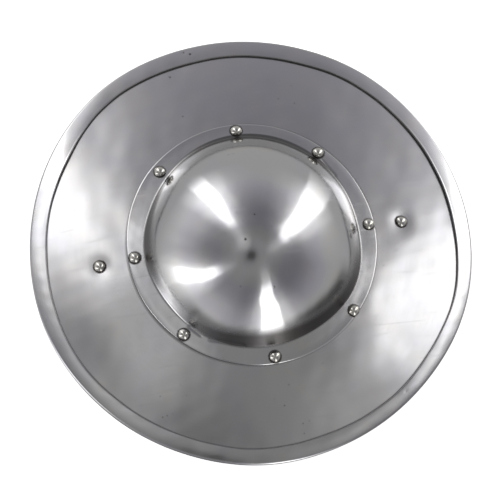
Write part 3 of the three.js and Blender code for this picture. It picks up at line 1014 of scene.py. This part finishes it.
def ramp(value, stops):
    """Colour read off straight lines between stops, each given as (degrees, brightness)."""
    low, high = stops[0][0], stops[-1][0]
    share = add(sky, "MapRange", {0: value, 1: low, 2: high}).outputs[0]
    node = add(sky, "ValToRGB", {0: share})
    elements = node.color_ramp.elements
    for _ in range(len(stops) - 2):
        elements.new(0.5)
    for element, (degrees, bright) in zip(elements, stops):
        element.position = (degrees - low) / (high - low)
        element.color = (*np.broadcast_to(bright, 3).tolist(), 1)
    return node.outputs[0]


def step(value, start, stop):
    """0 before start, 1 after stop, and smooth between."""
    links = {0: value, 1: start, 2: stop}
    return add(sky, "MapRange", links, interpolation_type="SMOOTHSTEP").outputs[0]


print("lights stand along", RIG_BACK.round(3))

# %% Walls
COOL = np.array([1.0, 0.985, 1.08])
WALL_STEPS = (  # angle off the lights' axis, and the walls' brightness or colour there
    (0, 0.03), (2.8, 0.06), (5.2, 0.2), (9, 0.29), (15, 0.31), (20, 0.27), (25, 0.24), (34, 0.2 * COOL),
    (46, 0.2 * COOL), (54, 0.24 * COOL), (60, 0.29 * COOL), (72, 0.38 * COOL), (84, 0.46), (180, 0.46),
)
near = step(along(sideways(285)), 0.2, 0.55)  # the near side is in shade low down
low = step(elevation, -1.0, -10.0)
shade = math(sky, "MULTIPLY", math(sky, "MULTIPLY", near, low), -0.85)
lit = math(sky, "ADD", shade, 1.0)
walls = vector(sky, "SCALE", {0: ramp(off_axis, WALL_STEPS), "Scale": lit})
print("walls:", len(WALL_STEPS), "steps of brightness")

# %% [markdown]
# A soft box is brightest in its middle, and the cloth at its sides and its glow on the wall are dimmer,
# so each side of a wedge has a bright core, a step and a long fade. A pale stretch of wall near the
# camera's line, at the upper left, adds a last faint light.

# %% Soft box recipe
CORE = 1.5
HOOK_FROM, SWAY_FROM = 42.0, 60.0
GLOW_REACH = (
    (14, 0), (20, 0.12), (25, 0.2), (30, 0.24), (36, 0.32), (42, 0.45), (48, 0.65), (58, 1), (78, 1),
    (92, 0.5), (108, 0),
)


def soft_box(bearing_at, sway, hook, half, reach, glow):
    """Brightness of one box. Its middle is at bearing_at where it is SWAY_FROM off the axis, and moves
    by sway for each degree further off, and by hook for each degree within HOOK_FROM. The cloth is CORE
    bright over its half widths, right and left, times the reach at each angle off the axis. The glow
    beside it goes by the bearing from its middle."""
    further = math(sky, "SUBTRACT", off_axis, SWAY_FROM)
    within = math(sky, "MAXIMUM", math(sky, "SUBTRACT", HOOK_FROM, off_axis), 0.0)
    middle_at = math(sky, "ADD", math(sky, "MULTIPLY", further, sway), bearing_at)
    middle_at = math(sky, "ADD", math(sky, "MULTIPLY", within, hook), middle_at)
    apart = math(sky, "SUBTRACT", bearing, middle_at)
    side = add(sky, "Math", {0: apart, 1: 180.0, 2: -180.0}, operation="WRAP").outputs[0]
    right, left = half
    cloth = ramp(side, ((-right - 1, 0), (-right + 0.5, CORE), (left - 0.5, CORE), (left + 1, 0)))
    cloth = math(sky, "MULTIPLY", cloth, ramp(off_axis, reach))
    beside = math(sky, "MULTIPLY", ramp(side, glow), ramp(off_axis, GLOW_REACH))
    return math(sky, "ADD", cloth, beside)


# %% Four soft boxes
upper_right = soft_box(
    37, 0.12, -0.65, (8.5, 8),
    ((14, 0), (20, 0.06), (24, 0.12), (30, 0.16), (33, 0.3), (35.5, 0.75), (38, 1), (86, 1), (96, 0.72),
     (102, 0.58), (108, 0.42), (114, 0.22), (126, 0)),
    ((-44, 0), (-34, 0.08), (-28, 0.13), (-22, 0.21), (-19, 0.34), (-16, 0.6), (-11, 0.66), (8, 0.8),
     (11, 0.66), (14, 0.46), (17, 0.31), (20, 0.2), (25, 0.12), (30, 0.05), (36, 0)),
)
upper_left = soft_box(
    122.5, 0.08, 0.0, (6.5, 5),
    ((14, 0), (20, 0.1), (24, 0.16), (31, 0.2), (35, 0.48), (41, 1), (70, 1), (84, 0.85), (92, 0.7),
     (97, 0.5), (102, 0.15), (112, 0)),
    ((-40, 0), (-32, 0.04), (-26, 0.1), (-23, 0.15), (-20, 0.22), (-17, 0.36), (-14, 0.6), (-8, 0.95),
     (9, 0.93), (12.5, 0.74), (15.5, 0.52), (19, 0.3), (30, 0.24), (42, 0.12), (50, 0)),
)
left_hand = soft_box(
    200.5, -0.16, 0.0, (7, 6.5),
    ((14, 0), (20, 0.04), (24, 0.08), (30, 0.12), (33, 0.28), (36, 0.62), (40, 1), (72, 1), (80, 0.75),
     (85, 0.55), (90, 0.28), (96, 0.1), (108, 0)),
    ((-38, 0), (-30, 0.12), (-24, 0.15), (-20, 0.24), (-15.5, 0.36), (-12.5, 0.6), (-9.5, 0.8),
     (8, 0.86), (11, 0.7), (14.5, 0.5), (18, 0.3), (21, 0.22), (34, 0.2), (46, 0.14), (60, 0)),
)
below = soft_box(
    290.3, -0.08, 0.6, (9, 9),
    ((14, 0), (20, 0.06), (24, 0.12), (30, 0.22), (34, 0.8), (37, 1), (78, 1), (84, 0.8), (90, 0.5),
     (96, 0.22), (108, 0)),
    ((-34, 0.04), (-25, 0.08), (-20, 0.2), (-17, 0.36), (-14, 0.52), (-11, 0.78), (0, 0.9), (9.5, 0.6),
     (15.5, 0.5), (19, 0.28), (22, 0.15), (28, 0.05), (34, 0)),
)
BOXES = (upper_right, upper_left, left_hand, below)
print("soft boxes:", len(BOXES))

# %% Pale wall and sky
PALE_OFF, PALE_WIDTH, PALE = np.radians(15.5), 9.5, 0.26
pale_heading = RIG_BACK * np.cos(PALE_OFF) + np.sin(PALE_OFF) * sideways(122.0)
pale_fade = ((0, PALE), (PALE_WIDTH / 2, 0.7 * PALE), (PALE_WIDTH, 0), (180, 0))
pale_wall = ramp(angle_from(pale_heading), pale_fade)
light = walls
for lamp in (*BOXES, pale_wall):
    light = vector(sky, "ADD", {0: light, 1: lamp})
seen = add(sky, "Background", {0: light, 1: 1.0}).outputs[0]
white = add(sky, "Background", {0: (1, 1, 1, 1), 1: 1.0}).outputs[0]
ray = add(sky, "LightPath").outputs["Is Camera Ray"]
mixed = add(sky, "MixShader", {0: ray, 1: seen, 2: white}).outputs[0]
add(sky, "OutputWorld", {0: mixed})
print("sky:", len(sky.nodes), "nodes")

# %% Floor
FLOOR_HALF = 6.0
floor_mesh = bpy.data.meshes.new("studio_floor")
corners = [(x * FLOOR_HALF, y * FLOOR_HALF, 0.0) for x, y in ((-1, -1), (1, -1), (1, 1), (-1, 1))]
floor_mesh.from_pydata(corners, [], [(0, 1, 2, 3)])
floor = bpy.data.objects.new("studio_floor", floor_mesh)
bpy.context.collection.objects.link(floor)
floor.visible_glossy = False
floor_white = bpy.data.materials.new("white_floor")
floor_white.use_nodes = True
paper = floor_white.node_tree.nodes["Principled BSDF"].inputs
paper["Base Color"].default_value = (0.9, 0.9, 0.9, 1)
paper["Roughness"].default_value = 0.8
paper["Emission Color"].default_value = (1, 1, 1, 1)
paper["Emission Strength"].default_value = 0.75
floor_mesh.materials.append(floor_white)
bpy.context.scene.view_settings.view_transform = "Standard"
print("floor:", 2 * FLOOR_HALF, "m square")
